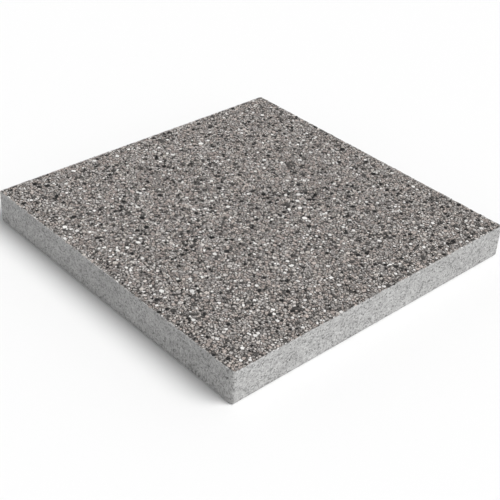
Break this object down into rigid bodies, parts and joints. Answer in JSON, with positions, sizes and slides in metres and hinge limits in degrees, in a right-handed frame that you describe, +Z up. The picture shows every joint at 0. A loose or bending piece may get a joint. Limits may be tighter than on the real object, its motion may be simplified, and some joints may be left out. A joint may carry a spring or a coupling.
{
  "type": "granite chip slab",
  "caption": "Square cast slab with a flat ground face of fine granite and marble chippings, a dead flat heavy bench surface for tooling and stamping.",
  "frame": {"origin": "centre of the underside, where the slab rests on the bench", "axes": "+Z up, out of the working face; +X and +Y along two sides of the square"},
  "size_m": [0.4, 0.4, 0.04],
  "materials": {
    "pale_concrete": "matte",
    "facing_mortar": "matte",
    "white_marble": "satin",
    "white_quartz": "satin",
    "pale_feldspar": "satin",
    "light_grey_granite": "matte",
    "mid_grey_granite": "matte",
    "taupe_granite": "matte",
    "dark_grey_granite": "matte",
    "black_basalt": "matte"
  },
  "bodies": {
    "root": {"backing_course": "pale_concrete", "facing_course": "facing_mortar", "white_marble_chips": "white_marble", "white_quartz_grains": "white_quartz", "pale_feldspar_chips": "pale_feldspar", "light_grey_granite_chips": "light_grey_granite", "mid_grey_granite_chips": "mid_grey_granite", "taupe_granite_chips": "taupe_granite", "dark_grey_granite_chips": "dark_grey_granite", "black_basalt_chips": "black_basalt"}
  },
  "joints": []
}
